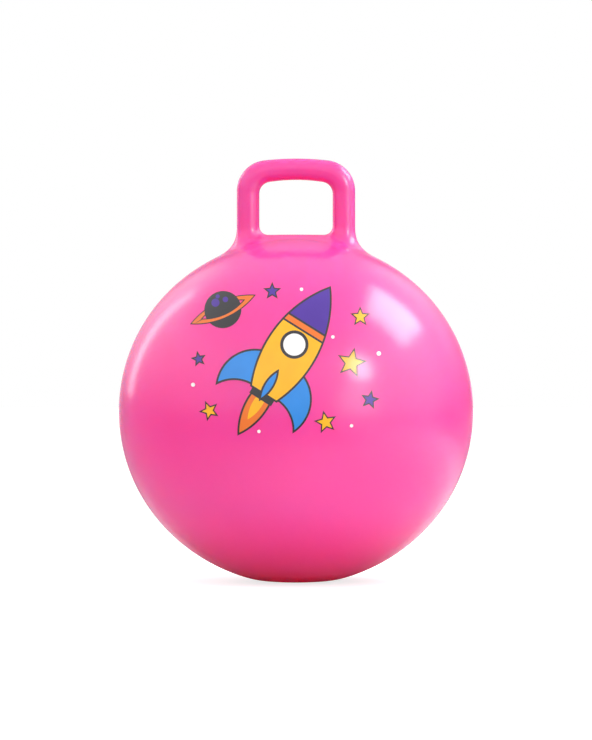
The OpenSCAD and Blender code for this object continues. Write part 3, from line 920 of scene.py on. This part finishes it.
def film_mesh(name, spots, triangles, ball, film):
    """A thin closed film on the front of the ball, over triangles of the picture."""
    used = sorted({i for triangle in triangles for i in triangle})
    order = {spot: i for i, spot in enumerate(used)}
    top = [[order[i] for i in triangle] for triangle in triangles]
    count = len(used)
    on_skin, out = ball.front(spots[used, 0], spots[used, 1])
    edges = {(t[i], t[(i + 1) % 3]) for t in top for i in range(3)}
    rim = [(b, a, a + count, b + count) for a, b in sorted(edges) if (b, a) not in edges]
    under = [[i + count for i in reversed(triangle)] for triangle in top]
    points = np.concatenate([on_skin + out * film, on_skin - out * INK_SINK])
    mesh = new_mesh(name, points, top + rim + under)
    normals = []
    for face in mesh.polygons:
        down = min(face.vertices) >= count
        normals += [-out[i % count] if down else out[i % count] for i in face.vertices]
    set_normals(mesh, normals)
    return mesh


class HOPPER_OT_print(bpy.types.Operator):
    """Prints the picture on the front of the ball, one film of ink for each colour"""

    bl_idname = "mesh.hopper_print"
    bl_label = "Printed picture"

    def execute(self, context):
        art = context.scene.hopper_print
        ball = BallShape(context.scene.hopper_skin)
        picture = Picture(art, ball)
        picture.planet()
        picture.rocket()
        picture.sky()
        spots, inks = picture.areas()
        for ink, triangles in sorted(inks.items()):
            mesh = film_mesh("ink_film_" + ink, spots, triangles, ball, art.film)
            piece = new_object("ink_film_" + ink, mesh, ink_material(ink, getattr(art, ink)))
            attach(piece, "ball")
            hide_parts("print_" + ink)
        return {"FINISHED"}


def white_background(tree, gloss):
    """How far a ray sees the white background: always from the camera and through clear things,
    and in reflections as far as gloss says, which is the part of the room where it stands. The
    kinds of ray come with it."""
    path = add_node(tree, "LightPath")
    mirrored_share = add_node(tree, "Math", {0: path.outputs["Is Glossy Ray"], 1: gloss},
                              operation="MULTIPLY")
    direct = add_node(tree, "Math", {0: path.outputs["Is Camera Ray"],
                                     1: path.outputs["Is Transmission Ray"]}, operation="MAXIMUM")
    return add_node(tree, "Math", {0: direct, 1: mirrored_share}, operation="MAXIMUM"), path


def floor_material(stage):
    """Matt white paper, with a painted pool of light round the ball, painted shade under it and, for gloss,
    a painted reflection.
    Where it is seen against the white background it is lifted to the same white, and it keeps the ball's
    shadow."""
    material, tree, where = new_material("Matt paper sweep")
    place = add_node(tree, "SeparateXYZ", {"Vector": where})
    # The white background stands in a wedge straight behind the ball.
    wedge_slope = 2.5
    aside = add_node(tree, "Math", {0: place.outputs["X"]}, operation="ABSOLUTE")
    wedge = add_node(tree, "Math", {0: aside, 1: -wedge_slope, 2: place.outputs["Y"]},
                     operation="MULTIPLY_ADD")
    behind = add_node(tree, "MapRange", {"Value": wedge, "From Min": 0.8, "From Max": 1.6}, **SMOOTH)
    seen, path = white_background(tree, behind)
    # Painted pool of light: the floor is white round a point a little right of the ball and turns grey
    # further off. This stands for the lamps' light falling off.
    light_pool_middle = (0.3, 0, 0)
    away = add_node(tree, "VectorMath", {0: where, 1: light_pool_middle}, operation="DISTANCE")
    outside_light_pool = add_node(tree, "MapRange", {"Value": away.outputs["Value"], "From Min": 0.35, "From Max": 1.1},
                      **SMOOTH)
    shade = add_node(tree, "MixRGB", {"Fac": outside_light_pool, "Color1": stage.floor_colour,
                                      "Color2": stage.painted_falloff_colour})
    # Painted shade: the paper is darkened to grey under the ball, so that the base keeps its own shade.
    out = add_node(tree, "VectorMath", {0: where}, operation="LENGTH")
    under = add_node(tree, "MapRange", {"Value": out.outputs["Value"], "From Min": 0.1, "From Max": 0.26,
                                        "To Min": 0.5}, **SMOOTH)
    paper_with_painted_shade = add_node(tree, "HueSaturation", {"Color": shade, "Value": under})
    paper = add_node(tree, "BsdfDiffuse", {"Color": paper_with_painted_shade})
    lift = add_node(tree, "Math", {0: seen, 1: stage.floor_glow}, operation="MULTIPLY")
    # Painted reflection: for gloss, the floor glows towards its right, standing for the bright side of the
    # room mirrored in it, but not behind the ball.
    ahead = add_node(tree, "MapRange", {"Value": place.outputs["Y"], "From Min": 0.2, "From Max": 0.8,
                                        "To Min": 0.8 * stage.glow, "To Max": 0.0})
    right = add_node(tree, "MapRange", {"Value": place.outputs["X"], "From Min": 0.3, "From Max": 1.2,
                                        "To Max": ahead}, **SMOOTH)
    painted_floor_reflection = add_node(tree, "Math", {0: path.outputs["Is Glossy Ray"], 1: right},
                           operation="MULTIPLY")
    light = add_node(tree, "Math", {0: lift, 1: painted_floor_reflection}, operation="ADD")
    glow = add_node(tree, "Emission", {"Color": (1, 1, 1, 1), "Strength": light})
    both = add_node(tree, "AddShader", {0: paper, 1: glow})
    add_node(tree, "OutputMaterial", {"Surface": both})
    return material


def cone(tree, direction, middle, outer, inner, value, rest=0.0):
    """A brightness that goes softly from rest to value within a cone of directions, between two
    half angles in degrees."""
    towards = add_node(tree, "VectorMath", {0: direction, 1: middle}, operation="DOT_PRODUCT")
    return add_node(tree, "MapRange", {
        "Value": towards.outputs["Value"], "From Min": math.cos(math.radians(outer)),
        "From Max": math.cos(math.radians(inner)), "To Min": rest, "To Max": value}, **SMOOTH)


def light_room(world, stage):
    """A pale room, brighter in front and above, with a white backdrop behind the ball. Gloss also
    shows a bright side round the lamps, and the matt fill comes mostly from the side opposite."""
    world.use_nodes = True
    tree = world.node_tree
    tree.nodes.clear()
    direction = add_node(tree, "TexCoord").outputs["Generated"]
    way = add_node(tree, "SeparateXYZ", {"Vector": direction})
    wall = add_node(tree, "MapRange", {"Value": way.outputs["Y"], "From Min": -0.5, "From Max": 0.5,
                                       "To Min": stage.walls, "To Max": stage.back_wall})
    room = add_node(tree, "MapRange", {"Value": way.outputs["Z"], "From Max": 0.5,
                                       "To Min": wall, "To Max": stage.ceiling})
    overhead = add_node(tree, "MapRange", {"Value": way.outputs["Z"], "From Min": 0.55, "From Max": 0.8,
                                           "To Min": 1.0, "To Max": 0.7})
    # The far end of the room, straight behind the ball, is in shade, and so is its corner on the
    # right, low down.
    aside = add_node(tree, "Math", {0: way.outputs["X"]}, operation="ABSOLUTE")
    sides = add_node(tree, "MapRange", {"Value": aside, "From Min": 0.15, "From Max": 0.35}, **SMOOTH)
    far_end = add_node(tree, "MapRange", {"Value": way.outputs["Y"], "From Min": 0.5, "From Max": 0.9,
                                          "To Min": 1.0, "To Max": 0.2})
    lit = add_node(tree, "Math", {0: sides, 1: far_end}, operation="MAXIMUM")
    for shade in (overhead, lit, cone(tree, direction, DARK_CORNER, 21, 8, 0.55, rest=1.0)):
        room = add_node(tree, "Math", {0: room, 1: shade}, operation="MULTIPLY")
    glow = add_node(tree, "Math", {0: cone(tree, direction, LAMP_SIDE, 50, 10, stage.glow),
                                   1: cone(tree, direction, LOW_CARD, 18, 7, 2 * stage.glow)},
                    operation="ADD")
    fill = add_node(tree, "MapRange", {"Value": way.outputs["X"], "From Min": -1,
                                       "To Min": stage.fill_share * (1 + stage.lean),
                                       "To Max": stage.fill_share * (1 - stage.lean)})
    seen, path = white_background(tree, cone(tree, direction, BACKDROP, 20, 10, 1.0))
    on_gloss = add_node(tree, "Math", {0: room, 1: glow}, operation="ADD")
    on_matt = add_node(tree, "Math", {0: room, 1: fill}, operation="MULTIPLY")
    shown = add_node(tree, "MapRange", {"Value": path.outputs["Is Diffuse Ray"],
                                        "To Min": on_gloss, "To Max": on_matt})
    dim = add_node(tree, "Background", {"Color": (1, 1, 1, 1), "Strength": shown})
    white = add_node(tree, "Background", {"Color": (1, 1, 1, 1), "Strength": 1.0})
    mix = add_node(tree, "MixShader", {0: seen, 1: dim, 2: white})
    add_node(tree, "OutputWorld", {"Surface": mix})


def softbox(name, aim, direction, distance, width, height, power):
    """A rectangular or, where width and height are equal, round lamp that faces the aim."""
    lamp = bpy.data.lights.new(name, "AREA")
    lamp.shape = "DISK" if width == height else "RECTANGLE"
    lamp.size, lamp.size_y = width, height
    lamp.energy = power
    box = bpy.data.objects.new(name, lamp)
    box.location = aim + Vector(direction).normalized() * distance
    box.rotation_euler = (aim - box.location).to_track_quat("-Z", "Y").to_euler()
    box.visible_camera = False
    bpy.context.scene.collection.objects.link(box)


class HOPPER_OT_stage(bpy.types.Operator):
    """Sets the camera, the pale floor and the studio lamps"""

    bl_idname = "scene.hopper_stage"
    bl_label = "Studio stage"

    def execute(self, context):
        stage = context.scene.hopper_stage
        middle = Vector((0, 0, stage.view_middle))

        lens_data = bpy.data.cameras.new("camera")
        lens_data.lens = lens_data.sensor_width * stage.distance / stage.view_height
        camera = bpy.data.objects.new("camera", lens_data)
        camera.location = middle + stage.distance * Vector((0, -math.cos(stage.elevation),
                                                            math.sin(stage.elevation)))
        camera.rotation_euler = (middle - camera.location).to_track_quat("-Z", "Y").to_euler()
        context.scene.collection.objects.link(camera)
        context.scene.camera = camera

        edge = [(x, y, 0) for x, y in disc((0, 0), stage.floor_radius, 96)]
        floor = new_object("floor", new_mesh("floor", edge, [range(len(edge))]), floor_material(stage))

        for name, power, *place in SOFTBOXES:
            softbox(name, middle, *place, getattr(stage, power))

        context.scene.world = context.scene.world or bpy.data.worlds.new("room")
        light_room(context.scene.world, stage)
        context.scene.view_settings.view_transform = "Standard"
        return {"FINISHED"}


class HOPPER_PT_panel(bpy.types.Panel):
    """Lists the ball's parts and their sizes and colours"""

    bl_idname = "HOPPER_PT_panel"
    bl_label = "Hopper Ball"
    bl_space_type = "VIEW_3D"
    bl_region_type = "UI"
    bl_category = "Hopper Ball"

    def draw(self, context):
        groups = ((context.scene.hopper_skin, (HOPPER_OT_skin,)),
                  (context.scene.hopper_valve, (HOPPER_OT_valve_seat, HOPPER_OT_valve_plug)),
                  (context.scene.hopper_print, (HOPPER_OT_print,)),
                  (context.scene.hopper_stage, (HOPPER_OT_stage,)))
        for settings, operators in groups:
            box = self.layout.box()
            for name in settings.__annotations__:
                box.prop(settings, name)
            for operator in operators:
                box.operator(operator.bl_idname)


SETTINGS = {"hopper_skin": SkinSettings, "hopper_valve": ValveSettings,
            "hopper_print": PrintSettings, "hopper_stage": StageSettings}
OPERATORS = (HOPPER_OT_stage, HOPPER_OT_skin, HOPPER_OT_valve_seat, HOPPER_OT_valve_plug, HOPPER_OT_print)


def register():
    for group in SETTINGS.values():
        bpy.utils.register_class(group)
    for shown in OPERATORS + (HOPPER_PT_panel,):
        bpy.utils.register_class(shown)
    for name, group in SETTINGS.items():
        setattr(bpy.types.Scene, name, PointerProperty(type=group))


def unregister():
    for name in SETTINGS:
        delattr(bpy.types.Scene, name)
    for shown in (HOPPER_PT_panel,) + OPERATORS[::-1]:
        bpy.utils.unregister_class(shown)
    for group in SETTINGS.values():
        bpy.utils.unregister_class(group)


def main():
    register()
    bpy.ops.scene.hopper_stage()
    bpy.ops.mesh.hopper_skin()
    bpy.ops.mesh.hopper_valve_seat()
    bpy.ops.mesh.hopper_valve_plug()
    bpy.ops.mesh.hopper_print()


if __name__ == "__main__":
    main()
